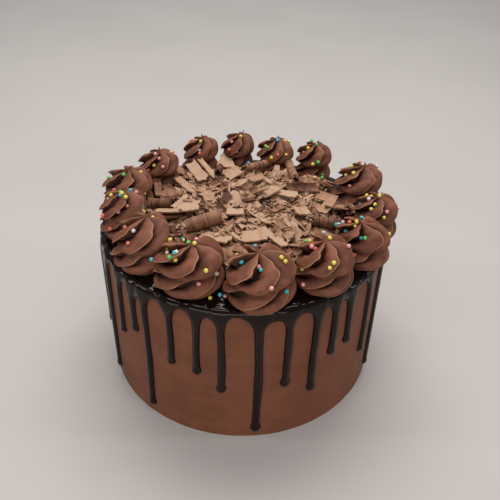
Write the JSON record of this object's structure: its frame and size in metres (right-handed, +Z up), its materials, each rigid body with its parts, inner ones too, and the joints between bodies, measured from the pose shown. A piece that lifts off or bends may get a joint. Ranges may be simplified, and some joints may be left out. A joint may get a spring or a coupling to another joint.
{
  "type": "chocolate drip cake with swirls",
  "caption": "Round tall chocolate buttercream cake with a dark ganache drip, a ring of piped swirls with sugar balls, and a heap of chocolate shavings on top.",
  "frame": {"origin": "middle of the flat foot that the cake rests on, on the cake's axis", "axes": "+Z up along the cake's axis, -Y towards the side that the picture shows, +X to the right as seen from there"},
  "size_m": [0.1887, 0.1936, 0.1349],
  "materials": {
    "buttercream_coat": "smoothed matte chocolate buttercream with faint scraper marks",
    "ganache": "set dark chocolate ganache, wet gloss",
    "buttercream_swirl": "piped chocolate buttercream, soft satin with sharp lips",
    "chocolate_shavings": "dry milk chocolate flakes and curls, matt and bloomed",
    "sugar_yellow": "yellow sugar balls, fine satin",
    "sugar_pink": "pink sugar balls, fine satin",
    "sugar_coral": "coral sugar balls, fine satin",
    "sugar_blue": "turquoise sugar balls, fine satin",
    "sugar_green": "green sugar balls, fine satin",
    "sugar_white": "white sugar balls, fine satin"
  },
  "bodies": {
    "root": {"cake_coat": "buttercream_coat", "ganache": "ganache", "swirl_01": "buttercream_swirl", "swirl_02": "buttercream_swirl", "swirl_03": "buttercream_swirl", "swirl_04": "buttercream_swirl", "swirl_05": "buttercream_swirl", "swirl_06": "buttercream_swirl", "swirl_07": "buttercream_swirl", "swirl_08": "buttercream_swirl", "swirl_09": "buttercream_swirl", "swirl_10": "buttercream_swirl", "swirl_11": "buttercream_swirl", "swirl_12": "buttercream_swirl", "swirl_13": "buttercream_swirl", "swirl_14": "buttercream_swirl", "shavings": "chocolate_shavings"}
  },
  "joints": []
}
